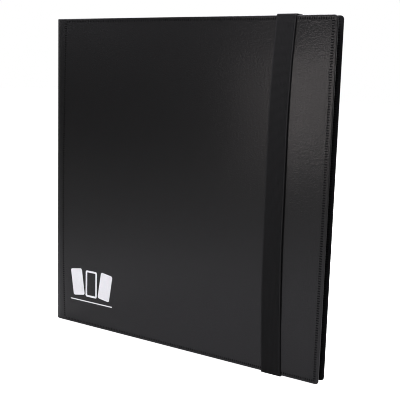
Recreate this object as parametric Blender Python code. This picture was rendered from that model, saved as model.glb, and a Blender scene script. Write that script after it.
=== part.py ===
"""Strap-closed card binder: two covers hinged to a spine, twenty pocket pages and an elastic strap.

Metres, +Z up. The binder stands on its lower edge. The spine is at -X, the fore-edge at +X,
the front cover faces -Y, and the origin is under the middle of the whole object.
"""

import math

import bmesh
import bpy
from mathutils import Vector

# Covers
COVER_WIDTH = 0.320
COVER_HEIGHT = 0.325
BINDER_DEPTH = 0.013
CORNER_RADIUS = 0.0035
SKIN = 0.0006
BOARD = 0.0010
LINING = 0.0003
GAP = 0.0003
RIM = 0.0015
WELD_BORDER = 0.0065
WELD_DEPTH = 0.0011
POCKET_CORNER = 0.0010
COVER_DEPTH = SKIN + GAP + BOARD + GAP + LINING

# Spine
FOLD_RADIUS = 0.0040
SPINE_BOARD_WIDTH = 0.0070
HINGE_FLAP = 0.0125

# Elastic strap
STRAP_WIDTH = 0.0205
STRAP_THICKNESS = 0.0010
STRAP_FROM_SPINE = 0.2686
STRAP_BEND = 0.0006
STRAP_TURN = 0.0040
TAIL_LENGTH = 0.022

# Printed emblem, a thin transfer film on the front cover
EMBLEM_WIDTH = 0.058
EMBLEM_HEIGHT = 0.036
EMBLEM_THICKNESS = 0.0001
EMBLEM_FROM_SPINE = 0.022
EMBLEM_ABOVE_EDGE = 0.026
EMBLEM_CORNER = 0.003

# Pages
PAGE_COUNT = 20
PAGE_THICKNESS = 0.00014
PAGE_HEIGHT = 0.298
PAGE_FORE_MARGIN = 0.014
PAGE_CORNER = 0.002
BINDING_BASE = 0.0010
SHORTEST_TOOTH = 0.0012
FOLD_STEP = 0.00035

ARC_STEPS = 6

# Places worked out from the sizes above
STRAP_PROUD = GAP + STRAP_THICKNESS
Z_LOW = STRAP_PROUD
Z_HIGH = Z_LOW + COVER_HEIGHT
Z_MIDDLE = (Z_LOW + Z_HIGH) / 2
X_SPINE = -COVER_WIDTH / 2
X_FORE = COVER_WIDTH / 2
Y_MIDDLE = STRAP_PROUD / 2
Y_FRONT = Y_MIDDLE - BINDER_DEPTH / 2
Y_BACK = Y_MIDDLE + BINDER_DEPTH / 2
X_COVER = X_SPINE + FOLD_RADIUS + GAP
X_POCKET = X_SPINE + HINGE_FLAP
X_STRAP = X_SPINE + STRAP_FROM_SPINE
X_BINDING = X_SPINE + COVER_DEPTH + GAP
X_TEETH = X_BINDING + BINDING_BASE

LEATHERETTE = ("leatherette", (0.012, 0.012, 0.012), 0.45)
STIFFENER = ("stiffener", (0.030, 0.030, 0.032), 0.70)
LINING_CLOTH = ("lining_cloth", (0.015, 0.015, 0.016), 0.85)
ELASTIC = ("elastic", (0.010, 0.010, 0.011), 0.80)
PAGE_FILM = ("page_film", (0.014, 0.014, 0.016), 0.25)
BINDING_PLASTIC = ("binding_plastic", (0.020, 0.020, 0.020), 0.50)
EMBLEM_FILM = ("emblem_film", (0.800, 0.800, 0.810), 0.45)


def clear_scene():
    for old in list(bpy.data.objects):
        bpy.data.objects.remove(old, do_unlink=True)


def material(look):
    name, colour, roughness = look
    found = bpy.data.materials.get(name)
    if found is None:
        found = bpy.data.materials.new(name)
        found.use_nodes = True
        shader = found.node_tree.nodes["Principled BSDF"]
        shader.inputs["Base Color"].default_value = (*colour, 1.0)
        shader.inputs["Roughness"].default_value = roughness
        shader.inputs["Metallic"].default_value = 0.0
    return found


def add_object(name, shape, look, parent=None):
    """Makes an object of a bmesh in world places, with its origin on its parent's."""
    bmesh.ops.recalc_face_normals(shape, faces=shape.faces)
    mesh = bpy.data.meshes.new(name)
    shape.to_mesh(mesh)
    shape.free()
    made = bpy.data.objects.new(name, mesh)
    bpy.context.scene.collection.objects.link(made)
    if look is not None:
        mesh.materials.append(material(look))
    if parent is not None:
        origin = parent.location
        for vertex in mesh.vertices:
            vertex.co -= origin
        made.parent = parent
    return made


def add_pivot(name, x, y):
    """An empty on a vertical joint axis, level with the lower edge of the covers."""
    pivot = bpy.data.objects.new(name, None)
    bpy.context.scene.collection.objects.link(pivot)
    pivot.location = (x, y, Z_LOW)
    return pivot


def prism(outline, start, end, along):
    """A closed prism of a 2D outline: along is "X", "Y" or "Z", from start to end on that axis."""
    place = {
        "X": lambda a, b, c: (c, a, b),
        "Y": lambda a, b, c: (a, c, b),
        "Z": lambda a, b, c: (a, b, c),
    }[along]
    shape = bmesh.new()
    ring = [shape.verts.new(place(a, b, start)) for a, b in outline]
    face = shape.faces.new(ring)
    moved = bmesh.ops.extrude_face_region(shape, geom=[face])
    shift = Vector(place(0.0, 0.0, end - start))
    lifted = [item for item in moved["geom"] if isinstance(item, bmesh.types.BMVert)]
    bmesh.ops.translate(shape, verts=lifted, vec=shift)
    return shape


def arc(centre, radius, first_deg, last_deg, steps=ARC_STEPS):
    angles = [math.radians(first_deg + (last_deg - first_deg) * i / steps) for i in range(steps + 1)]
    return [(centre[0] + radius * math.cos(a), centre[1] + radius * math.sin(a)) for a in angles]


def rectangle(x0, x1, z0, z1):
    return [(x0, z0), (x1, z0), (x1, z1), (x0, z1)]


def fore_rounded(x0, x1, z0, z1, radius):
    """A rectangle whose two corners at the fore-edge are rounded."""
    lower = arc((x1 - radius, z0 + radius), radius, -90, 0)
    upper = arc((x1 - radius, z1 - radius), radius, 0, 90)
    return [(x0, z0)] + lower + upper + [(x0, z1)]


def add_boolean(target, cutter, operation):
    step = target.modifiers.new(operation.lower(), "BOOLEAN")
    step.operation = operation
    step.solver = "EXACT"
    step.object = cutter
    cutter.hide_render = True
    cutter.display_type = "WIRE"


def cover_skin(name, outer, inward, pivot):
    """The outer sheet with its thicker welded border, and the flap that folds to the spine."""
    floor = outer + inward * SKIN
    border = outer + inward * WELD_DEPTH
    block = prism(fore_rounded(X_POCKET, X_FORE, Z_LOW, Z_HIGH, CORNER_RADIUS), outer, border, "Y")
    skin = add_object(name, block, LEATHERETTE, pivot)
    flap = prism(rectangle(X_COVER, X_POCKET + RIM / 2, Z_LOW, Z_HIGH), outer, floor, "Y")
    add_boolean(skin, add_object(name + ".flap", flap, None, pivot), "UNION")
    hollow = prism(pocket_outline(0.0), floor, border + inward * RIM, "Y")
    add_boolean(skin, add_object(name + ".pocket", hollow, None, pivot), "DIFFERENCE")
    return skin


def pocket_outline(clear):
    """The board's pocket inside the welded border, drawn in by a clearance all round."""
    weld = WELD_BORDER + clear
    return fore_rounded(X_POCKET + RIM + clear, X_FORE - weld, Z_LOW + weld, Z_HIGH - weld, POCKET_CORNER)


def cover_sheet(name, outer, inward, depth, thickness, look, pivot):
    """A flat sheet in the board's pocket, its outer side at depth below the cover's outer face."""
    near = outer + inward * depth
    return add_object(name, prism(pocket_outline(GAP), near, near + inward * thickness, "Y"), look, pivot)


def build_cover(side, outer, inward, pivot):
    """Skin, board and lining of one cover; the skin and the board are handed back."""
    skin = cover_skin(side + "_cover_skin", outer, inward, pivot)
    board = cover_sheet(side + "_cover_board", outer, inward, SKIN + GAP, BOARD, STIFFENER, pivot)
    lining_depth = SKIN + GAP + BOARD + GAP
    cover_sheet(side + "_cover_lining", outer, inward, lining_depth, LINING, LINING_CLOTH, pivot)
    return skin, board


def build_emblem(pivot):
    """The film that carries the front cover's printed emblem."""
    x0, z0 = X_SPINE + EMBLEM_FROM_SPINE, Z_LOW + EMBLEM_ABOVE_EDGE
    outline = fore_rounded(x0, x0 + EMBLEM_WIDTH, z0, z0 + EMBLEM_HEIGHT, EMBLEM_CORNER)
    near = Y_FRONT - GAP
    add_object("front_emblem", prism(outline, near - EMBLEM_THICKNESS, near, "Y"), EMBLEM_FILM, pivot)


def build_spine():
    """The folded outer sheet of the spine, its stiffener and its lining."""
    inner_radius = FOLD_RADIUS - SKIN
    x_centre = X_SPINE + FOLD_RADIUS
    y_low, y_high = Y_FRONT + FOLD_RADIUS, Y_BACK - FOLD_RADIUS
    outside = arc((x_centre, y_high), FOLD_RADIUS, 90, 180) + arc((x_centre, y_low), FOLD_RADIUS, 180, 270)
    inside = arc((x_centre, y_low), inner_radius, 270, 180) + arc((x_centre, y_high), inner_radius, 180, 90)
    add_object("spine_skin", prism(outside + inside, Z_LOW, Z_HIGH, "Z"), LEATHERETTE)

    half = SPINE_BOARD_WIDTH / 2
    low, high = Z_LOW + RIM, Z_HIGH - RIM
    for name, depth, thickness, look in (
        ("spine_board", SKIN + GAP, BOARD, STIFFENER),
        ("spine_lining", SKIN + GAP + BOARD + GAP, LINING, LINING_CLOTH),
    ):
        x = X_SPINE + depth
        outline = rectangle(x, x + thickness, Y_MIDDLE - half, Y_MIDDLE + half)
        add_object(name, prism(outline, low, high, "Z"), look)


def page_pitch():
    return (BINDER_DEPTH - 2 * COVER_DEPTH - GAP) / PAGE_COUNT


def page_y(number):
    """The middle plane of a page; page 1 is next to the front cover."""
    return Y_MIDDLE + (number - (PAGE_COUNT + 1) / 2) * page_pitch()


def tooth_tip(number):
    """Where a page's bound edge ends: each is FOLD_STEP longer than its neighbour nearer the cover,
    so that the folded pages fan out side by side."""
    from_cover = min(number - 1, PAGE_COUNT - number)
    return X_TEETH + SHORTEST_TOOTH + from_cover * FOLD_STEP


def build_binding():
    """A comb-shaped strip along the spine whose teeth are the bound edges of the pages."""
    half = PAGE_THICKNESS / 2
    outline = [(X_BINDING, page_y(PAGE_COUNT) + half), (X_BINDING, page_y(1) - half)]
    for number in range(1, PAGE_COUNT + 1):
        y = page_y(number)
        if number > 1:
            outline.append((X_TEETH, y - half))
        outline += [(tooth_tip(number), y - half), (tooth_tip(number), y + half)]
        if number < PAGE_COUNT:
            outline.append((X_TEETH, y + half))
    low = Z_MIDDLE - PAGE_HEIGHT / 2
    add_object("page_binding_strip", prism(outline, low, low + PAGE_HEIGHT, "Z"), BINDING_PLASTIC)


def build_page(number):
    """One pocket page, on its own fold line beside the binding strip."""
    x, y = tooth_tip(number) + GAP, page_y(number)
    low = Z_MIDDLE - PAGE_HEIGHT / 2
    outline = fore_rounded(x, X_FORE - PAGE_FORE_MARGIN, low, low + PAGE_HEIGHT, PAGE_CORNER)
    pivot = add_pivot("page_%02d_fold" % number, x, y)
    shape = prism(outline, y - PAGE_THICKNESS / 2, y + PAGE_THICKNESS / 2, "Y")
    add_object("page_%02d" % number, shape, PAGE_FILM, pivot)


def strap_turn_outline():
    """Side view of the strap where it turns over a cover edge, as (y, height above the edge)."""
    y_out = Y_FRONT - STRAP_PROUD
    y_in = Y_FRONT - GAP
    y_tail = Y_BACK - SKIN - GAP
    low = -STRAP_TURN
    centre = (y_in + STRAP_BEND, GAP - STRAP_BEND)
    over = arc(centre, STRAP_BEND + STRAP_THICKNESS, 180, 90)
    down = arc((y_tail - STRAP_THICKNESS, GAP), STRAP_THICKNESS, 90, 0)
    under = arc(centre, STRAP_BEND, 90, 180)
    return [(y_out, low)] + over + down + under + [(y_in, low)]


def build_strap(back_skin, back_board, back_pivot):
    """The elastic strap: its front run, a turn over each edge, and a tail sewn into the back cover."""
    x0, x1 = X_STRAP - STRAP_WIDTH / 2, X_STRAP + STRAP_WIDTH / 2
    run_low, run_high = Z_LOW + STRAP_TURN + GAP, Z_HIGH - STRAP_TURN - GAP
    slider = bpy.data.objects.new("strap_slider", None)
    bpy.context.scene.collection.objects.link(slider)
    slider.location = (X_STRAP, Y_FRONT, Z_MIDDLE)
    run = prism(rectangle(x0, x1, run_low, run_high), Y_FRONT - STRAP_PROUD, Y_FRONT - GAP, "Y")
    add_object("strap_front_run", run, ELASTIC, slider)

    y_tail = Y_BACK - SKIN - GAP
    for end, edge, up in (("top", Z_HIGH, 1), ("bottom", Z_LOW, -1)):
        outline = [(y, edge + up * height) for y, height in strap_turn_outline()]
        add_object("strap_%s_wrap" % end, prism(outline, x0, x1, "X"), ELASTIC, slider)
        deep = edge - up * TAIL_LENGTH
        low, high = min(edge, deep), max(edge, deep)
        tail = prism(rectangle(x0, x1, low, high), y_tail - STRAP_THICKNESS, y_tail, "Y")
        add_object("strap_%s_tail" % end, tail, ELASTIC, back_pivot)

        clear_low, clear_high = low - GAP, high + GAP
        slot_outline = rectangle(x0 - GAP, x1 + GAP, clear_low, clear_high)
        slot = prism(slot_outline, y_tail - STRAP_THICKNESS - GAP, y_tail + GAP / 2, "Y")
        cutter = add_object("strap_%s_slot" % end, slot, None, back_pivot)
        add_boolean(back_skin, cutter, "DIFFERENCE")
        add_boolean(back_board, cutter, "DIFFERENCE")


clear_scene()
front_pivot = add_pivot("front_hinge", X_SPINE, Y_FRONT)
back_pivot = add_pivot("back_hinge", X_SPINE, Y_BACK)
build_cover("front", Y_FRONT, 1, front_pivot)
build_emblem(front_pivot)
back_skin, back_board = build_cover("back", Y_BACK, -1, back_pivot)
build_spine()
build_binding()
for page_number in range(1, PAGE_COUNT + 1):
    build_page(page_number)
build_strap(back_skin, back_board, back_pivot)
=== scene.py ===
"""The looks of the strap-closed card binder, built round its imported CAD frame. Metres, +Z up."""

import math
import random

import bpy
import numpy as np
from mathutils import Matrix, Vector


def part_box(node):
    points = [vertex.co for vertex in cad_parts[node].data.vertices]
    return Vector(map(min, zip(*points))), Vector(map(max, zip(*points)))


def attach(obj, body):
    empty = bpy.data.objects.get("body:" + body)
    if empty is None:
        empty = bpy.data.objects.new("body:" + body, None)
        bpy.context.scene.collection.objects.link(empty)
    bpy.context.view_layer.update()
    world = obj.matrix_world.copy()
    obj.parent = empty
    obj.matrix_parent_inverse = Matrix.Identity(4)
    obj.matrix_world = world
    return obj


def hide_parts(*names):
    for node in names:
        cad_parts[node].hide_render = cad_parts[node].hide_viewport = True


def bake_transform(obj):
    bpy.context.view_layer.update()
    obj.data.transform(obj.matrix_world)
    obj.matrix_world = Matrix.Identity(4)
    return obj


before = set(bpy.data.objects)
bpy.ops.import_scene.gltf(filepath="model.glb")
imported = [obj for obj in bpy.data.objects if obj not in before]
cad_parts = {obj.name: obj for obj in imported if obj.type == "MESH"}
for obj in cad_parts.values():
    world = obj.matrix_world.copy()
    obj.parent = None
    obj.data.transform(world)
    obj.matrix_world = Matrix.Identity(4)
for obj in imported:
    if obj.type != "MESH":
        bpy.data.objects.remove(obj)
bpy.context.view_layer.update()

MM = 0.001

# Camera and stage
CAMERA_PLACE = (0.4447, -0.6366, 0.2731)
CAMERA_TURN_DEG = (81.09, -1.695, 33.758)
CAMERA_LENS, CAMERA_SENSOR = 72.0, 36.0
PIXEL_FILTER = 1.0
FLOOR_REACH, FLOOR_GLOW = 8.0, 1.0
ROOM_LEFT, ROOM_RIGHT = 0.11, 0.02
KEY_TARGET = (0.13, 0.0, 0.25)
KEY_DISTANCE, KEY_SIZE = 2.5, 0.12
WARM, COOL = (1.0, 0.93, 0.92), (0.93, 0.91, 1.0)

# Leather covers
EDGE_ROUND = 0.7 * MM
LEATHER = 0.6 * MM
WELD_LEATHER = 0.75 * MM
WELD_BORDER = 5.8 * MM
LEATHER_RAMP, LINING_RAMP = 1.2 * MM, 0.9 * MM
SWELL = 0.12 * MM
SWELL_FROM, SWELL_REACH, SWELL_SPINE_REACH = 6 * MM, 30 * MM, 20 * MM
CREST, CREST_WIDTH = 0.22 * MM, 16 * MM  # the cover rises a little under the strap
LINING_THICKNESS = 0.3 * MM
LINING_GAP, LINING_SOFT = 0.03 * MM, 0.03 * MM
LINING_ROUND = 0.2 * MM
LINING_END = 3.2 * MM  # the lining stops this far from the middle of the spine
LINING_DIP = 5 * MM  # between the board and the fold, it sinks over this length
FOLD_LENGTH = 9.5 * MM
FOLD_DEPTH = 3.0 * MM
FOLD_SQUARENESS = 2.5
CORNER = 3.5 * MM
FLAT_STEP, FINE_STEP = 9 * MM, 0.45 * MM
FINE_REACH = 6 * MM
FOLD_STEPS = 30
WELD_FROM_SPINE = 13.5 * MM
WELD_BOW = 3.3 * MM
WELD_INSET_ENDS = 2.9 * MM
WELD_INSET_FORE = 4.0 * MM
GROOVE_HALF = 1.5 * MM
GROOVE_DEPTH = 0.02 * MM
SPINE_GROOVE_FROM = 1.5 * MM
END_PITCH, FORE_PITCH, SPINE_PITCH = 2.2 * MM, 2.24 * MM, 2.33 * MM
END_BAR, FORE_BAR, SPINE_BAR = 1.9 * MM, 2.8 * MM, 2.1 * MM
BAR_WIDTH, SPINE_BAR_WIDTH = 1.05 * MM, 1.25 * MM
BAR_HEIGHT = 0.24 * MM
BAR_SIDES = 8
BAR_RINGS = ((-1.0, 0.45), (-0.85, 0.85), (-0.5, 1.0), (0.5, 1.0), (0.85, 0.85), (1.0, 0.45))
BAR_TILT_DEG = 7
BAR_SINK, BAR_LIFT = 0.03 * MM, 0.02 * MM
CORNER_BAR_INSET = 0.3 * MM

# Emblem
EMBLEM_OUT, EMBLEM_IN = 0.05 * MM, 0.14 * MM
RULE, RULE_ROOM = 1.1 * MM, 5 * MM
CARD_SHARE, CARD_ROOM = 0.27, 7 * MM
CARD_CORNER, HOLE_CORNER = 2.0 * MM, 0.8 * MM
CARD_FRAME = 4 * MM
CARDS = ((0.17, 9.0, True), (0.5, 0.0, False), (0.83, -9.0, True))

# Elastic strap
STRAP_WIDTH = 19.4 * MM
STRAP_THICKNESS = 1.1 * MM
STRAP_RIBS, RIB_POINTS = 13, 8
RIB_HEIGHT = 0.07 * MM
SELVAGE, SELVAGE_RISE, SELVAGE_SLOPE = 1.3 * MM, 0.05 * MM, 0.5 * MM
VALLEY_DEPTH, VALLEY_HALF = 0.22 * MM, 0.22 * MM
STRAP_ROUND, STRAP_EDGE_HALF = 0.3 * MM, 0.12 * MM
STRAP_CLEAR = 0.25 * MM
STRAP_BEND, TAIL_BEND = 1.5 * MM, 0.9 * MM
TAIL_DEPTH = 3 * MM
STRAP_LIFT, STRAP_LIFT_REACH = 0.9 * MM, 120 * MM
STRAP_BOW = 0.3 * MM
STRAP_PULL_TOP, STRAP_PULL_BOTTOM = 3.8 * MM, 3.6 * MM
STRAP_REACH_TOP, STRAP_REACH_BOTTOM = 110 * MM, 140 * MM
STRAP_SPREAD = 0.7 * MM
STRAP_SPREAD_FROM, STRAP_SPREAD_TO = 120 * MM, 60 * MM
RUN_POINTS = 60
BEND_STEPS, TURN_STEPS, TAIL_STEPS = 8, 7, 6

# Pages
PAGES = 20
ROWS, COLUMNS = 3, 4
POCKET_WIDTH, POCKET_HEIGHT = 72.0 * MM, 98.0 * MM
POCKET_MARGIN = 3 * MM
POCKET_WELD, POCKET_SEAL = 1.5 * MM, 0.2 * MM
POCKET_SLOPE, POCKET_RISE = 2.5 * MM, 0.045 * MM
NOTCH_DEPTH, NOTCH_HALF = 7 * MM, 11 * MM
SHEET = 0.10 * MM
SHEET_TUCK = 0.3 * MM
SHEET_FOLD, SHEET_FINE = 4 * MM, 6 * MM
SHEET_FINE_STEP, SHEET_X_STEP, SHEET_Z_STEP = 0.5 * MM, 12 * MM, 15 * MM
FILM, FILM_GAP = 0.03 * MM, 0.02 * MM

front_low, front_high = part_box("front_cover_skin")
X_SPINE, X_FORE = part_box("spine_skin")[0][0], front_high[0]
Y_FRONT, Y_BACK = front_low[1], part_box("back_cover_skin")[1][1]
Y_MIDDLE = (Y_FRONT + Y_BACK) / 2
Z_LOW, Z_HIGH = front_low[2], front_high[2]
COVER_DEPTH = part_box("front_cover_lining")[1][1] - Y_FRONT
X_WELD = X_SPINE + WELD_FROM_SPINE


def weld_line_x(z):
    """The weld beside the spine, which bows toward the spine, most of all below mid height."""
    share = np.clip((z - Z_LOW) / (Z_HIGH - Z_LOW), 0, 1)
    return X_WELD - WELD_BOW * np.sin(math.pi * share**0.75)


# ---------------------------------------------------------------- materials


def new_material(name, colour, roughness):
    """A Principled material, and its tree, shader and object coordinates."""
    made = bpy.data.materials.new(name)
    made.use_nodes = True
    tree = made.node_tree
    shader = tree.nodes["Principled BSDF"]
    shader.inputs["Base Color"].default_value = (*colour, 1.0)
    shader.inputs["Roughness"].default_value = roughness
    place = tree.nodes.new("ShaderNodeTexCoord").outputs["Object"]
    return made, tree, shader, place


def add_noise(tree, place, scale, detail=3.0):
    """The value of a noise texture."""
    noise = tree.nodes.new("ShaderNodeTexNoise")
    noise.inputs["Scale"].default_value = scale
    noise.inputs["Detail"].default_value = detail
    tree.links.new(place, noise.inputs["Vector"])
    return noise.outputs["Fac"]


def add_range(tree, value, low, high, to_low, to_high):
    """A value moved from one range to another, and kept inside it."""
    spread = tree.nodes.new("ShaderNodeMapRange")
    sockets = ("From Min", "From Max", "To Min", "To Max")
    for socket, number in zip(sockets, (low, high, to_low, to_high)):
        spread.inputs[socket].default_value = number
    tree.links.new(value, spread.inputs["Value"])
    return spread.outputs["Result"]


def add_mix(tree, share, dark, light):
    """A colour between a dark one and a light one."""
    mix = tree.nodes.new("ShaderNodeMix")
    mix.data_type = "RGBA"
    mix.inputs[6].default_value = (*dark, 1.0)
    mix.inputs[7].default_value = (*light, 1.0)
    tree.links.new(share, mix.inputs[0])
    return mix.outputs[2]


def bumped_normal(tree, height, distance, strength=1.0, under=None):
    """A bumped normal, on top of another one if that is given."""
    bump = tree.nodes.new("ShaderNodeBump")
    bump.inputs["Distance"].default_value = distance
    bump.inputs["Strength"].default_value = strength
    tree.links.new(height, bump.inputs["Height"])
    if under is not None:
        tree.links.new(under, bump.inputs["Normal"])
    return bump.outputs["Normal"]


def add_bump(tree, shader, height, distance, strength=1.0):
    """Gives the shader a bumped normal."""
    tree.links.new(bumped_normal(tree, height, distance, strength), shader.inputs["Normal"])


def leatherette():
    """Black coated cloth: a rough base with a pebble grain, under a tight coat that is smoother."""
    made, tree, shader, place = new_material("leatherette", (0.0035, 0.0035, 0.0036), 0.2)
    slow = add_noise(tree, place, 14.0)
    shade = add_mix(tree, slow, (0.0025, 0.0025, 0.0026), (0.0037, 0.0036, 0.0036))
    tree.links.new(shade, shader.inputs["Base Color"])
    gloss = add_range(tree, add_noise(tree, place, 600.0), 0.3, 0.7, 0.42, 0.54)
    tree.links.new(gloss, shader.inputs["Roughness"])
    shader.inputs["Specular IOR Level"].default_value = 0.13
    shader.inputs["Coat Weight"].default_value = 0.56
    shader.inputs["Coat Roughness"].default_value = 0.15
    pebble = tree.nodes.new("ShaderNodeTexVoronoi")
    pebble.feature = "SMOOTH_F1"
    pebble.inputs["Scale"].default_value = 850.0
    tree.links.new(place, pebble.inputs["Vector"])
    grain = add_noise(tree, place, 900.0, 2.0)
    mottle = bumped_normal(tree, add_noise(tree, place, 350.0, 1.0), 0.06 * MM)
    coat = bumped_normal(tree, grain, 0.07 * MM, under=mottle)
    tree.links.new(coat, shader.inputs["Coat Normal"])
    coarse = bumped_normal(tree, grain, 0.18 * MM)
    base = bumped_normal(tree, pebble.outputs["Distance"], 0.03 * MM, under=coarse)
    tree.links.new(base, shader.inputs["Normal"])
    return made


def weld_bar():
    """The bars where the leatherette is pressed and welded, dull and nearly black."""
    made, tree, shader, place = new_material("weld_bar", (0.001, 0.001, 0.001), 0.8)
    add_bump(tree, shader, add_noise(tree, place, 2500.0), 0.03 * MM)
    shader.inputs["Specular IOR Level"].default_value = 0.05
    return made


def lining_cloth():
    """The black, matt, fine-fibred inside of the covers."""
    made, tree, shader, place = new_material("lining_cloth", (0.004, 0.004, 0.004), 0.9)
    fibre = add_noise(tree, place, 1800.0, 6.0)
    shade = add_mix(tree, fibre, (0.0028, 0.0028, 0.003), (0.007, 0.007, 0.0073))
    tree.links.new(shade, shader.inputs["Base Color"])
    add_bump(tree, shader, fibre, 0.05 * MM)
    shader.inputs["Specular IOR Level"].default_value = 0.15
    return made


def elastic():
    """Ribbed woven elastic: the ribs are in the mesh, the picks across them are here."""
    made, tree, shader, place = new_material("elastic", (0.006, 0.006, 0.006), 0.8)
    picks = tree.nodes.new("ShaderNodeTexWave")
    picks.bands_direction = "Z"
    picks.inputs["Scale"].default_value = 330.0
    picks.inputs["Distortion"].default_value = 1.2
    picks.inputs["Detail Scale"].default_value = 3.0
    tree.links.new(place, picks.inputs["Vector"])
    shade = add_mix(tree, picks.outputs["Fac"], (0.0018, 0.0018, 0.0018), (0.0048, 0.0048, 0.0047))
    tree.links.new(shade, shader.inputs["Base Color"])
    add_bump(tree, shader, picks.outputs["Fac"], 0.06 * MM)
    shader.inputs["Specular IOR Level"].default_value = 0.17
    shader.inputs["Sheen Weight"].default_value = 0.02
    return made


def selvage_with_painted_highlight():
    """The closer-woven edges of the strap, made a little paler: partly real weave, partly a painted
    highlight for the light that the strap's rounded edges catch.
    """
    made, tree, shader, place = new_material("selvage_with_painted_highlight", (0.004, 0.004, 0.004), 0.75)
    picks = add_noise(tree, place, 900.0, 2.0)
    shade = add_mix(tree, picks, (0.0035, 0.0035, 0.0035), (0.0075, 0.0075, 0.0074))
    tree.links.new(shade, shader.inputs["Base Color"])
    add_bump(tree, shader, picks, 0.05 * MM)
    shader.inputs["Specular IOR Level"].default_value = 0.25
    return made


def page_backing():
    """The black sheet in the middle of each page."""
    made, tree, shader, place = new_material("page_backing", (0.008, 0.008, 0.009), 0.5)
    grain = add_noise(tree, place, 900.0, 5.0)
    shade = add_mix(tree, grain, (0.006, 0.006, 0.007), (0.011, 0.011, 0.012))
    tree.links.new(shade, shader.inputs["Base Color"])
    add_bump(tree, shader, grain, 0.03 * MM)
    return made


def pocket_film():
    """Clear film that lies on the black sheet: it shows the sheet's colour under its own gloss."""
    made, tree, shader, place = new_material("pocket_film", (0.012, 0.012, 0.014), 0.1)
    haze = add_range(tree, add_noise(tree, place, 35.0), 0.3, 0.7, 0.16, 0.3)
    tree.links.new(haze, shader.inputs["Roughness"])
    add_bump(tree, shader, add_noise(tree, place, 25.0, 1.0), 0.25 * MM, 0.5)
    shader.inputs["IOR"].default_value = 1.5
    return made


def plastic(name, colour, roughness):
    """A plain plastic with a faint unevenness."""
    made, tree, shader, place = new_material(name, colour, roughness)
    add_bump(tree, shader, add_noise(tree, place, 500.0), 0.03 * MM)
    return made


def print_film():
    """The white print of the emblem, a little worn."""
    made, tree, shader, place = new_material("white_print", (0.93, 0.93, 0.94), 0.4)
    wear = add_noise(tree, place, 700.0, 4.0)
    shade = add_mix(tree, wear, (0.88, 0.88, 0.89), (0.97, 0.97, 0.98))
    tree.links.new(shade, shader.inputs["Base Color"])
    add_bump(tree, shader, wear, 0.02 * MM)
    return made


LEATHERETTE, WELD_BAR, LINING, ELASTIC = leatherette(), weld_bar(), lining_cloth(), elastic()
# The selvage material is paler than the elastic: partly a painted highlight on the strap's edges.
SELVAGE_WITH_PAINTED_HIGHLIGHT, BACKING, POCKET_FILM, PRINT = selvage_with_painted_highlight(), page_backing(), pocket_film(), print_film()
STIFFENER = plastic("stiffener", (0.03, 0.03, 0.032), 0.7)
BINDING = plastic("binding_plastic", (0.012, 0.012, 0.012), 0.45)


# ---------------------------------------------------------------- mesh tools


def add_piece(name, points, faces, material, smooth_deg=40.0):
    """A smooth-shaded mesh piece from points and faces, which are in the CAD frame."""
    mesh = bpy.data.meshes.new(name)
    mesh.from_pydata([tuple(p) for p in points], [], [tuple(f) for f in faces])
    mesh.validate()
    mesh.materials.append(material)
    mesh.shade_smooth()
    mesh.set_sharp_from_angle(angle=math.radians(smooth_deg))
    made = bpy.data.objects.new(name, mesh)
    bpy.context.scene.collection.objects.link(made)
    return made


def grid_faces(rows, columns, first=0, flip=False):
    """The quads of a grid whose points are stored row by row."""
    i, j = np.meshgrid(np.arange(rows - 1), np.arange(columns - 1), indexing="ij")
    a = first + i * columns + j
    quads = np.stack([a, a + columns, a + columns + 1, a + 1], axis=-1).reshape(-1, 4)
    return (quads[:, ::-1] if flip else quads).tolist()


def shell_faces(rows, columns, flip=False):
    """A closed shell of two grids, the second stored after the first, joined round their border."""
    count = rows * columns
    faces = grid_faces(rows, columns, 0, flip) + grid_faces(rows, columns, count, not flip)
    index = np.arange(count).reshape(rows, columns)
    border = list(index[:, 0]) + list(index[-1, 1:]) + list(index[-2::-1, -1]) + list(index[0, -2:0:-1])
    for a, b in zip(border, border[1:] + border[:1]):
        side = [int(a), int(a + count), int(b + count), int(b)]
        faces.append(side[::-1] if flip else side)
    return faces


def tube_faces(rings, around):
    """Quads round a tube of rings, with its two ends filled."""
    faces = []
    for i in range(rings - 1):
        for j in range(around):
            k = (j + 1) % around
            faces.append((i * around + j, i * around + k, (i + 1) * around + k, (i + 1) * around + j))
    faces.append(tuple(range(around - 1, -1, -1)))
    faces.append(tuple((rings - 1) * around + j for j in range(around)))
    return faces


def ease(value):
    """A smooth step from 0 to 1."""
    value = np.clip(value, 0.0, 1.0)
    return value * value * (3 - 2 * value)


# ---------------------------------------------------------------- covers


def spaced(start, end, step):
    """Even values from start to end, about a step apart."""
    count = max(1, int(round(abs(end - start) / step)))
    return list(np.linspace(start, end, count + 1))


def edge_lines():
    """Distances from a cover's edge at which its mesh has a line, closest over the rounding."""
    rounded = (0, 0.06, 0.18, 0.36, 0.6, 0.9, 1.25, 1.5, 1.52)
    grooved = (1.8, 2.1, 2.4, 2.7, 3.0, 3.4, 3.8, 4.2, 4.6, 5.0, 5.4, 5.8)
    return [distance * MM for distance in (*rounded, *grooved, 6.6, 9.0)]


def height_lines():
    """Heights at which a cover's mesh has a line."""
    near = edge_lines()
    middle = spaced(Z_LOW + near[-1], Z_HIGH - near[-1], FLAT_STEP)[1:-1]
    return [Z_LOW + d for d in near] + middle + [Z_HIGH - d for d in reversed(near)]


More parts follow.
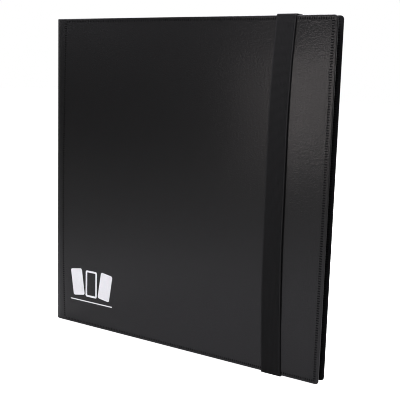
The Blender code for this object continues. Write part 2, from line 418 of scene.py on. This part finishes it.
def cover_path(outer, inward):
    """The cover's outer surface from the fore-edge round the fold to the middle of the spine.

    Each entry is (x, y, outward normal x, outward normal y)."""
    near = edge_lines()
    x_fold = X_SPINE + FOLD_LENGTH
    x_fine = X_WELD + FINE_REACH
    flat = [X_FORE - d for d in near] + spaced(X_FORE - near[-1], x_fine, FLAT_STEP)[1:]
    flat += spaced(x_fine, x_fold, FINE_STEP)[1:]
    path = [(x, outer, 0.0, -inward) for x in flat]
    power = FOLD_SQUARENESS
    for angle in np.radians(np.linspace(0, 90, FOLD_STEPS + 1)[1:]):
        swing = (math.sin(angle) ** power + math.cos(angle) ** power) ** (-1 / power)
        u, v = swing * math.sin(angle), swing * math.cos(angle)
        nx, ny = u ** (power - 1) / FOLD_LENGTH, v ** (power - 1) / FOLD_DEPTH
        size = math.hypot(nx, ny)
        x, y = x_fold - FOLD_LENGTH * u, outer + inward * FOLD_DEPTH * (1 - v)
        path.append((x, y, -nx / size, -inward * ny / size))
    path.append((X_SPINE, Y_MIDDLE, -1.0, 0.0))
    return np.array(path)


def round_fore_corners(x, z):
    """Moves the points of the two square fore-edge corners onto round ones."""
    a = (x - (X_FORE - CORNER)) / CORNER
    low, high = (Z_LOW + CORNER - z) / CORNER, (z - (Z_HIGH - CORNER)) / CORNER
    b = np.maximum(low, high)
    inside = (a > 0) & (b > 0)
    new_a, new_b = a * np.sqrt(np.clip(1 - b * b / 2, 0, 1)), b * np.sqrt(np.clip(1 - a * a / 2, 0, 1))
    x = np.where(inside, X_FORE - CORNER + CORNER * new_a, x)
    moved = np.where(high > low, Z_HIGH - CORNER + CORNER * new_b, Z_LOW + CORNER - CORNER * new_b)
    return x, np.where(inside, moved, z)


def edge_distance(x, z):
    """How far a point of a cover is inside its outline, which has round fore-edge corners."""
    fore, end = X_FORE - x, np.minimum(z - Z_LOW, Z_HIGH - z)
    corner = (fore < CORNER) & (end < CORNER)
    round_part = CORNER - np.hypot(CORNER - fore, CORNER - end)
    return np.clip(np.where(corner, round_part, np.minimum(fore, end)), 0, None)


def groove(distance):
    """The shallow channel that a line of weld bars lies in, from the distance to its middle."""
    return GROOVE_DEPTH * ease(1.5 * (1 - np.abs(distance) / GROOVE_HALF))


def weld_groove(x, z):
    """The depth of the channels along a cover's top, bottom and fore edges and beside its spine."""
    ends = np.minimum(z - Z_LOW, Z_HIGH - z)
    fore = X_FORE - x
    near_ends = np.where((x > X_WELD) & (fore > WELD_INSET_FORE), groove(ends - WELD_INSET_ENDS), 0)
    near_fore = np.where(ends > WELD_INSET_ENDS, groove(fore - WELD_INSET_FORE), 0)
    beside_spine = np.where(ends > SPINE_GROOVE_FROM, groove(x - weld_line_x(z)), 0)
    return np.maximum(np.maximum(near_ends, near_fore), beside_spine)


def rounding(distance, radius):
    """How far a surface drops at an edge rounded with this radius."""
    inside = np.clip(radius - distance, 0, radius)
    return radius - np.sqrt(np.clip(radius * radius - inside * inside, 0, None))


def shell_points(x, y, z, nx, ny, depths):
    """The points of a shell's two grids, each its own depths under the cover's outer surface."""
    grids = [np.stack([x - nx * depth, y - ny * depth, z], axis=-1).reshape(-1, 3) for depth in depths]
    return np.concatenate(grids)


def build_leather(side, outer, inward):
    """A cover's leatherette sheet, from the fore-edge to the spine's middle, thicker at its welds."""
    path = cover_path(outer, inward)
    z_lines = np.array(height_lines())
    x, z = round_fore_corners(*np.meshgrid(path[:, 0], z_lines, indexing="ij"))
    y, nx, ny = (np.repeat(path[:, k][:, None], len(z_lines), axis=1) for k in (1, 2, 3))
    distance = edge_distance(x, z)
    on_board = ease((distance - WELD_BORDER) / LEATHER_RAMP)
    strap_low, strap_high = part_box("strap_front_run")
    x_strap = (strap_low[0] + strap_high[0]) / 2
    # Slow waves, whose factors are in radians for each metre.
    waves = SWELL * np.sin(x * 21.0 + z * 9.0) * np.sin(z * 17.0 - x * 5.0 + 1.0)
    swell = waves + CREST * np.exp(-(((x - x_strap) / CREST_WIDTH) ** 2))
    swell = swell * ease((distance - SWELL_FROM) / SWELL_REACH) * ease((x - X_WELD) / SWELL_SPINE_REACH)
    drop = rounding(distance, EDGE_ROUND) + weld_groove(x, z) - swell
    inner = WELD_LEATHER + (LEATHER - WELD_LEATHER) * on_board
    points = shell_points(x, y, z, nx, ny, (drop, inner))
    faces = shell_faces(len(path), len(z_lines), flip=inward < 0)
    made = add_piece(side + "_leather", points, faces, LEATHERETTE, 50.0)
    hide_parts(side + "_cover_skin", "spine_skin")
    blend_fold(made)


def blend_fold(piece):
    """Bakes a piece's transform into its mesh; the piece is not bent over the hinge."""
    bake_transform(piece)


def build_lining(side, outer, inward):
    """The lining sheet: welded to the leatherette at the border, over the board, round the fold."""
    path = cover_path(outer, inward)
    path = path[np.abs(path[:, 1] - Y_MIDDLE) > LINING_END]
    z_lines = np.array(height_lines())
    x, z = round_fore_corners(*np.meshgrid(path[:, 0], z_lines, indexing="ij"))
    y, nx, ny = (np.repeat(path[:, k][:, None], len(z_lines), axis=1) for k in (1, 2, 3))
    distance = edge_distance(x, z)
    x_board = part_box(side + "_cover_board")[0][0]
    on_board = ease((distance - WELD_BORDER) / LINING_RAMP)
    on_board = on_board * ease((x - (x_board - LINING_DIP)) / LINING_DIP)
    near = WELD_LEATHER + LINING_GAP + (COVER_DEPTH - LINING_THICKNESS - WELD_LEATHER) * on_board
    soft = LINING_SOFT * np.sin(x * 60.0) * np.sin(z * 45.0) * on_board
    far = near + LINING_THICKNESS + soft - rounding(distance, LINING_ROUND)
    points = shell_points(x, y, z, nx, ny, (near, far))
    faces = shell_faces(len(path), len(z_lines), flip=inward < 0)
    made = add_piece(side + "_lining", points, faces, LINING)
    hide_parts(side + "_cover_lining")
    blend_fold(made)


def bar_points(centre, along, across, outward, length, breadth):
    """One pressed bar, a flattened capsule whose axes are along, across and outward."""
    angles = np.linspace(0, 2 * math.pi, BAR_SIDES, endpoint=False)
    points = []
    for step, width in BAR_RINGS:
        middle = centre + along * step * length / 2
        for angle in angles:
            beside = across * math.cos(angle) * width * breadth / 2
            above = outward * math.sin(angle) * width * BAR_HEIGHT / 2
            points.append(middle + beside + above)
    return points


def bar_places():
    """Centre (x, z), inward direction (x, z), length and width of each bar of a cover."""
    places = []
    x_corner = X_FORE - WELD_INSET_FORE
    ends = ((Z_LOW + WELD_INSET_ENDS, 1.0), (Z_HIGH - WELD_INSET_ENDS, -1.0))
    for z, inward in ends:
        for x in spaced(X_WELD + END_PITCH, x_corner - END_PITCH, END_PITCH):
            places.append((x, z, 0.0, inward, END_BAR, BAR_WIDTH))
        diagonal = math.sqrt(0.5)
        x, z_bar = x_corner - CORNER_BAR_INSET, z + inward * CORNER_BAR_INSET
        places.append((x, z_bar, -diagonal, inward * diagonal, END_BAR, BAR_WIDTH))
    for z in spaced(ends[0][0] + FORE_PITCH, ends[1][0] - FORE_PITCH, FORE_PITCH):
        places.append((x_corner, z, -1.0, 0.0, FORE_BAR, BAR_WIDTH))
    for z in spaced(ends[0][0] + SPINE_PITCH, ends[1][0] - SPINE_PITCH, SPINE_PITCH):
        places.append((weld_line_x(z), z, -1.0, 0.0, SPINE_BAR, SPINE_BAR_WIDTH))
    return places


def build_bars(side, outer, inward):
    """The rows of pressed bars that weld leatherette and lining together round the board."""
    chance = random.Random(side)
    outward = np.array([0.0, -inward, 0.0])
    inside = outer + inward * (WELD_LEATHER + LINING_THICKNESS)
    one_bar = tube_faces(len(BAR_RINGS), BAR_SIDES)
    for name, face_y, facing in (("outer", outer, outward), ("inner", inside, -outward)):
        points, faces = [], []
        for x, z, dx, dz, length, breadth in bar_places():
            if name == "inner" and x < X_WELD + END_PITCH / 2:
                continue
            tilt = math.radians(chance.uniform(-BAR_TILT_DEG, BAR_TILT_DEG))
            cos, sin = math.cos(tilt), math.sin(tilt)
            along = np.array([dx * cos - dz * sin, 0.0, dx * sin + dz * cos])
            across = np.cross(facing, along)
            depth = GROOVE_DEPTH + chance.uniform(-BAR_LIFT, BAR_SINK)
            centre = np.array([x, face_y, z]) - facing * depth
            first = len(points)
            points += bar_points(centre, along, across, facing, length, breadth)
            faces += [tuple(first + k for k in face) for face in one_bar]
        made = add_piece("%s_weld_bars_%s" % (side, name), points, faces, WELD_BAR)
        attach(made, side + "_cover")


def dress_cad_sheets():
    """The boards, the spine's lining and the binding strip keep their CAD shapes."""
    for name in ("front_cover_board", "back_cover_board", "spine_board"):
        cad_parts[name].data.materials[0] = STIFFENER
    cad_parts["spine_lining"].data.materials[0] = LINING
    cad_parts["page_binding_strip"].data.materials[0] = BINDING


# ---------------------------------------------------------------- emblem


def card_outline(centre, size, turn_deg, corner):
    """A playing-card outline, as (x, z) points, turned about its middle."""
    half_w, half_h = size[0] / 2, size[1] / 2
    turn = math.radians(turn_deg)
    points = []
    for sx, sz, first in ((1, -1, -90), (1, 1, 0), (-1, 1, 90), (-1, -1, 180)):
        for step in range(7):
            angle = math.radians(first + 15 * step)
            points.append((sx * (half_w - corner) + corner * math.cos(angle),
                           sz * (half_h - corner) + corner * math.sin(angle)))
    return [(centre[0] + px * math.cos(turn) - pz * math.sin(turn),
             centre[1] + px * math.sin(turn) + pz * math.cos(turn)) for px, pz in points]


def add_plate(points, faces, outline, y_out, y_in, hole=None):
    """Adds a thin plate with an (x, z) outline, or a frame where a hole of as many points is given."""
    first, n = len(points), len(outline)
    rings = [[(x, y, z) for x, z in outline] for y in (y_out, y_in)]
    if hole is None:
        points += rings[0] + rings[1]
        faces.append(tuple(first + k for k in range(n)))
        faces.append(tuple(first + n + k for k in reversed(range(n))))
        for k in range(n):
            m = (k + 1) % n
            faces.append((first + k, first + n + k, first + n + m, first + m))
        return
    inner = [[(x, y, z) for x, z in hole] for y in (y_out, y_in)]
    points += rings[0] + inner[0] + inner[1] + rings[1]
    for a in range(4):
        b = (a + 1) % 4
        for k in range(n):
            m = (k + 1) % n
            faces.append((first + a * n + k, first + b * n + k, first + b * n + m, first + a * n + m))


def build_emblem():
    """A generic mark: three cards fanned out, the middle one in outline, over a plain rule."""
    low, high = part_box("front_emblem")
    y_out, y_in = Y_FRONT - EMBLEM_OUT, Y_FRONT + EMBLEM_IN
    points, faces = [], []
    width, height = high[0] - low[0], high[2] - low[2]
    z_card = low[2] + RULE_ROOM + (height - RULE_ROOM) / 2
    size = (width * CARD_SHARE, height - CARD_ROOM)
    hole_size = (size[0] - CARD_FRAME, size[1] - CARD_FRAME)
    for place, turn, solid in CARDS:
        centre = (low[0] + width * place, z_card)
        outline = card_outline(centre, size, turn, CARD_CORNER)
        hole = None if solid else card_outline(centre, hole_size, turn, HOLE_CORNER)
        add_plate(points, faces, outline, y_out, y_in, hole)
    bar = [(low[0], low[2]), (high[0], low[2]), (high[0], low[2] + RULE), (low[0], low[2] + RULE)]
    add_plate(points, faces, bar, y_out, y_in)
    made = add_piece("emblem_print", points, faces, PRINT, 30.0)
    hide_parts("front_emblem")
    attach(made, "front_cover")


# ---------------------------------------------------------------- strap


def strap_section():
    """The strap's cross-section, as (across, outward): ribs on both faces between two flat selvages."""
    half = STRAP_WIDTH / 2
    across = np.linspace(-half, half, RIB_POINTS * STRAP_RIBS + 1)
    ribbed = half - SELVAGE
    phase = (across + ribbed) / (2 * ribbed) * STRAP_RIBS
    rib = RIB_HEIGHT * np.abs(np.sin(math.pi * phase))
    flat = SELVAGE_RISE * ease((half - np.abs(across)) / SELVAGE_SLOPE)
    valley = np.abs(np.abs(across) - ribbed) < VALLEY_HALF
    top = STRAP_THICKNESS / 2 - RIB_HEIGHT + np.where(np.abs(across) < ribbed, rib, flat)
    top = np.where(valley, STRAP_THICKNESS / 2 - VALLEY_DEPTH, top)
    edge = rounding(half - np.abs(across), STRAP_ROUND)
    top = np.maximum(top - edge, STRAP_EDGE_HALF)
    upper = list(zip(across, top))
    return upper + [(a, -t) for a, t in reversed(upper)]


def strap_centre_line(up):
    """Half of the strap's centre line, from its middle over one edge into the back cover.

    Each entry is (y, z, outward y, outward z); up is 1 for the upper half and -1 for the lower."""
    edge = Z_HIGH if up > 0 else Z_LOW
    middle = (Z_LOW + Z_HIGH) / 2
    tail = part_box("strap_%s_tail" % ("top" if up > 0 else "bottom"))
    height = STRAP_CLEAR + STRAP_THICKNESS / 2
    y_run = Y_FRONT - height
    points = []
    turn_at = edge - up * (STRAP_BEND - height)
    for z in np.linspace(middle, turn_at, RUN_POINTS):
        lift = STRAP_LIFT * math.sin(math.pi * min(1.0, abs(z - edge) / STRAP_LIFT_REACH) / 2)
        points.append((y_run - lift, z, -1.0, 0.0))
    for angle in np.radians(np.linspace(0, 90, BEND_STEPS + 1)[1:]):
        y = y_run + STRAP_BEND * (1 - math.cos(angle))
        z = turn_at + up * STRAP_BEND * math.sin(angle)
        points.append((y, z, -math.cos(angle), up * math.sin(angle)))
    y_tail = (tail[0][1] + tail[1][1]) / 2
    z_top = turn_at + up * STRAP_BEND
    for y in np.linspace(y_run + STRAP_BEND, y_tail - TAIL_BEND, TURN_STEPS + 1)[1:]:
        points.append((y, z_top, 0.0, up))
    for angle in np.radians(np.linspace(0, 90, TAIL_STEPS + 1)[1:]):
        y = y_tail - TAIL_BEND + TAIL_BEND * math.sin(angle)
        z = z_top - up * TAIL_BEND * (1 - math.cos(angle))
        points.append((y, z, math.sin(angle), up * math.cos(angle)))
    points.append((y_tail, edge - up * TAIL_DEPTH, 1.0, 0.0))
    return np.array(points)


def strap_place(up, distance):
    """The strap's shift toward the fore-edge, and its spread, at a distance from the cover's end."""
    if up > 0:
        return STRAP_PULL_TOP * max(0.0, 1 - distance / STRAP_REACH_TOP) ** 2 - STRAP_BOW, 1.0
    shift = STRAP_PULL_BOTTOM * max(0.0, 1 - distance / STRAP_REACH_BOTTOM) ** 2 - STRAP_BOW
    share = ease((STRAP_SPREAD_FROM - distance) / (STRAP_SPREAD_FROM - STRAP_SPREAD_TO))
    return shift, 1 + STRAP_SPREAD * float(share) / STRAP_WIDTH


def build_strap():
    """The elastic strap as two halves, which meet in the middle of its front run."""
    low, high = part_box("strap_front_run")
    x_middle = (low[0] + high[0]) / 2
    section = strap_section()
    widths = np.array([across for across, outward in section])
    for name, up, nodes in (
        ("strap_upper", 1, ("strap_top_wrap", "strap_top_tail", "strap_front_run")),
        ("strap_lower", -1, ("strap_bottom_wrap", "strap_bottom_tail", "strap_front_run")),
    ):
        line = strap_centre_line(up)
        edge = Z_HIGH if up > 0 else Z_LOW
        points = []
        for y, z, oy, oz in line:
            shift, spread = strap_place(up, abs(edge - z))
            for across, outward in section:
                x = x_middle + shift + across * spread
                points.append((x, y + oy * outward, z + oz * outward))
        faces = tube_faces(len(line), len(section))
        if up < 0:
            faces = [tuple(reversed(face)) for face in faces]
        made = add_piece(name, points, faces, ELASTIC, 60.0)
        # The edge faces take the paler selvage material, which is partly a painted highlight for the
        # light on the strap's rounded edges.
        made.data.materials.append(SELVAGE_WITH_PAINTED_HIGHLIGHT)
        for face in made.data.polygons:
            mean = widths[[k % len(section) for k in face.vertices]].mean()
            if abs(mean) > STRAP_WIDTH / 2 - SELVAGE:
                face.material_index = 1
        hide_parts(*nodes)
        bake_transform(made)


# ---------------------------------------------------------------- pages


def build_page(number):
    """One pocket page: the black backing sheet and the film pockets welded on both its faces."""
    name = "page_%02d" % number
    low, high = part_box(name)
    body = name + "_leaf"
    y = (low[1] + high[1]) / 2
    x_tucked, x_fine = low[0] - SHEET_TUCK, low[0] + SHEET_FINE
    x_lines = [x_tucked] + spaced(low[0], x_fine, SHEET_FINE_STEP)
    x_lines += spaced(x_fine, high[0], SHEET_X_STEP)[1:]
    z_lines = spaced(low[2], high[2], SHEET_Z_STEP)
    x, z = np.meshgrid(x_lines, z_lines, indexing="ij")
    y_faces = (y - SHEET / 2, y + SHEET / 2)
    grids = [np.stack([x, np.full_like(x, y_face), z], axis=-1).reshape(-1, 3) for y_face in y_faces]
    faces = shell_faces(len(x_lines), len(z_lines))
    sheet = add_piece(name + "_sheet", np.concatenate(grids), faces, BACKING)
    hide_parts(name)
    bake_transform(sheet)

    points, faces = [], []
    x_first = high[0] - POCKET_MARGIN - COLUMNS * POCKET_WIDTH
    z_first = (low[2] + high[2]) / 2 - ROWS * POCKET_HEIGHT / 2
    for column in range(COLUMNS):
        x_pocket = x_first + column * POCKET_WIDTH
        for row in range(ROWS):
            z_pocket = z_first + row * POCKET_HEIGHT
            for side in (-1, 1):
                add_pocket(points, faces, x_pocket, z_pocket, y, side)
    film = add_piece(name + "_pockets", points, faces, POCKET_FILM)
    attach(film, body)


def add_pocket(points, faces, x_low, z_bottom, y, side):
    """One film pocket: welded on three sides, open with a thumb notch on the side toward the spine."""
    x_open, x_end = x_low + 2 * POCKET_WELD, x_low + POCKET_WIDTH - POCKET_SEAL
    z_low, z_high = z_bottom + POCKET_SEAL, z_bottom + POCKET_HEIGHT - POCKET_SEAL
    lower_half = (0, 0.015, 0.06, 0.2, 0.36, 0.40, 0.43, 0.465)
    z_shares = np.array([*lower_half, 0.5, *(1 - share for share in reversed(lower_half))])
    x_shares = np.array([0, 0.03, 0.2, 0.5, 0.8, 0.96, 0.985, 1])
    z = z_low + (z_high - z_low) * z_shares
    notch = np.clip(1 - ((z - (z_low + z_high) / 2) / NOTCH_HALF) ** 2, 0, None)
    x_start = x_open + NOTCH_DEPTH * np.sqrt(notch)
    x = x_start[None, :] + (x_end - x_start)[None, :] * x_shares[:, None]
    z = np.repeat(z[None, :], len(x_shares), axis=0)
    rise = ease((x_end - x) / POCKET_SLOPE)
    rise = rise * ease((z - z_low) / POCKET_SLOPE) * ease((z_high - z) / POCKET_SLOPE)
    near = SHEET / 2 + FILM_GAP + POCKET_RISE * rise
    first = len(points)
    for depth in (near + FILM, near):
        points += np.stack([x, y + side * depth, z], axis=-1).reshape(-1, 3).tolist()
    for face in shell_faces(len(x_shares), len(z_shares), flip=side > 0):
        faces.append(tuple(first + k for k in face))


# ---------------------------------------------------------------- stage


def add_area(name, place, target, size, power, colour=(1.0, 1.0, 1.0)):
    """A softbox that faces its target and that the camera doesn't see."""
    data = bpy.data.lights.new(name, "AREA")
    data.shape = "RECTANGLE"
    data.size, data.size_y = size
    data.energy = power
    data.color = colour
    light = bpy.data.objects.new(name, data)
    light.location = place
    light.rotation_euler = (Vector(target) - Vector(place)).to_track_quat("-Z", "Y").to_euler()
    light.visible_camera = False
    bpy.context.scene.collection.objects.link(light)
    return light


def build_stage():
    """A pale floor, which the camera sees evenly lit up to the horizon."""
    floor_mesh = bpy.data.meshes.new("floor")
    turns = ((-1, -1), (1, -1), (1, 1), (-1, 1))
    corners = [(x * FLOOR_REACH, y * FLOOR_REACH, 0) for x, y in turns]
    floor_mesh.from_pydata(corners, [], [(0, 1, 2, 3)])
    material, tree, shader, place = new_material("pale_floor", (0.8, 0.8, 0.8), 0.9)
    shader.inputs["Specular IOR Level"].default_value = 0.0
    path = tree.nodes.new("ShaderNodeLightPath")
    shader.inputs["Emission Color"].default_value = (1.0, 1.0, 1.0, 1.0)
    glow = add_range(tree, path.outputs["Is Camera Ray"], 0, 1, 0, FLOOR_GLOW)
    tree.links.new(glow, shader.inputs["Emission Strength"])
    floor_mesh.materials.append(material)
    floor = bpy.data.objects.new("floor", floor_mesh)
    bpy.context.scene.collection.objects.link(floor)


def build_world():
    """White behind the object, and a dim grey room round it, darker on the fore-edge's side."""
    world = bpy.data.worlds.new("studio")
    bpy.context.scene.world = world
    world.use_nodes = True
    tree = world.node_tree
    tree.nodes.clear()
    out = tree.nodes.new("ShaderNodeOutputWorld")
    mix = tree.nodes.new("ShaderNodeMixShader")
    path = tree.nodes.new("ShaderNodeLightPath")
    seen, studio = (tree.nodes.new("ShaderNodeBackground") for _ in range(2))
    for background in (seen, studio):
        background.inputs["Color"].default_value = (1.0, 1.0, 1.0, 1.0)
    place = tree.nodes.new("ShaderNodeTexCoord").outputs["Generated"]
    sides = tree.nodes.new("ShaderNodeSeparateXYZ")
    tree.links.new(place, sides.inputs[0])
    across = add_range(tree, sides.outputs["X"], -0.1, 0.5, ROOM_LEFT, ROOM_RIGHT)
    tree.links.new(across, studio.inputs["Strength"])
    tree.links.new(path.outputs["Is Camera Ray"], mix.inputs["Fac"])
    tree.links.new(studio.outputs["Background"], mix.inputs[1])
    tree.links.new(seen.outputs["Background"], mix.inputs[2])
    tree.links.new(mix.outputs["Shader"], out.inputs["Surface"])


def build_lights():
    """Small key lights that make the gloss beside the strap, and softboxes all round."""
    for name, turn_deg, rise_deg, power in (
        ("key_a", 23, 2, 0.46),
        ("key_b", 26, -5, 0.8),
        ("key_c", 26, 0, 0.4),
        ("key_d", 29, 1, 0.16),
    ):
        turn, rise = math.radians(turn_deg), math.radians(rise_deg)
        toward = (-math.sin(turn) * math.cos(rise), -math.cos(turn) * math.cos(rise), math.sin(rise))
        place = [start + KEY_DISTANCE * step for start, step in zip(KEY_TARGET, toward)]
        add_area(name, place, KEY_TARGET, (KEY_SIZE, KEY_SIZE), power, WARM)
    add_area("front_softbox", (0.25, -1.5, 1.5), (0.0, 0.0, 0.15), (1.0, 0.8), 12.2)
    add_area("near_softbox", (0.09, -0.18, 0.5), (0.09, -0.18, 0.0), (0.4, 0.25), 2.1, COOL)
    add_area("corner_softbox", (-0.28, -0.12, 0.4), (-0.22, -0.08, 0.0), (0.15, 0.15), 0.3, COOL)
    add_area("left_panel", (-2.0, -0.05, 0.3), (-0.16, 0.0, 0.16), (1.4, 0.8), 2.0)
    add_area("right_panel", (1.3, -1.7, 0.35), (0.13, 0.0, 0.16), (0.5, 0.8), 1.1)
    add_area("back_softbox", (-0.25, 1.5, 1.5), (0.0, 0.0, 0.15), (1.0, 0.8), 16.0)
    add_area("back_near_softbox", (0.05, 0.2, 0.5), (0.05, 0.2, 0.0), (0.4, 0.25), 2.5, COOL)
    add_area("back_key", (1.3, 1.9, 0.45), (0.0, 0.0, 0.16), (0.8, 0.6), 9.0)


def build_camera():
    """The camera, a plain view transform and a narrow pixel filter, which keeps the bars crisp."""
    data = bpy.data.cameras.new("camera")
    data.lens = CAMERA_LENS
    data.sensor_width = CAMERA_SENSOR
    camera = bpy.data.objects.new("camera", data)
    camera.location = CAMERA_PLACE
    camera.rotation_euler = [math.radians(angle) for angle in CAMERA_TURN_DEG]
    bpy.context.scene.collection.objects.link(camera)
    bpy.context.scene.camera = camera
    bpy.context.scene.view_settings.view_transform = "Standard"
    bpy.context.scene.cycles.filter_width = PIXEL_FILTER


# ---------------------------------------------------------------- build


build_camera()
build_stage()
build_world()
build_lights()
for cover_side, cover_outer, cover_inward in (("front", Y_FRONT, 1.0), ("back", Y_BACK, -1.0)):
    build_leather(cover_side, cover_outer, cover_inward)
    build_lining(cover_side, cover_outer, cover_inward)
    build_bars(cover_side, cover_outer, cover_inward)
dress_cad_sheets()
build_emblem()
build_strap()
for page_number in range(1, PAGES + 1):
    build_page(page_number)
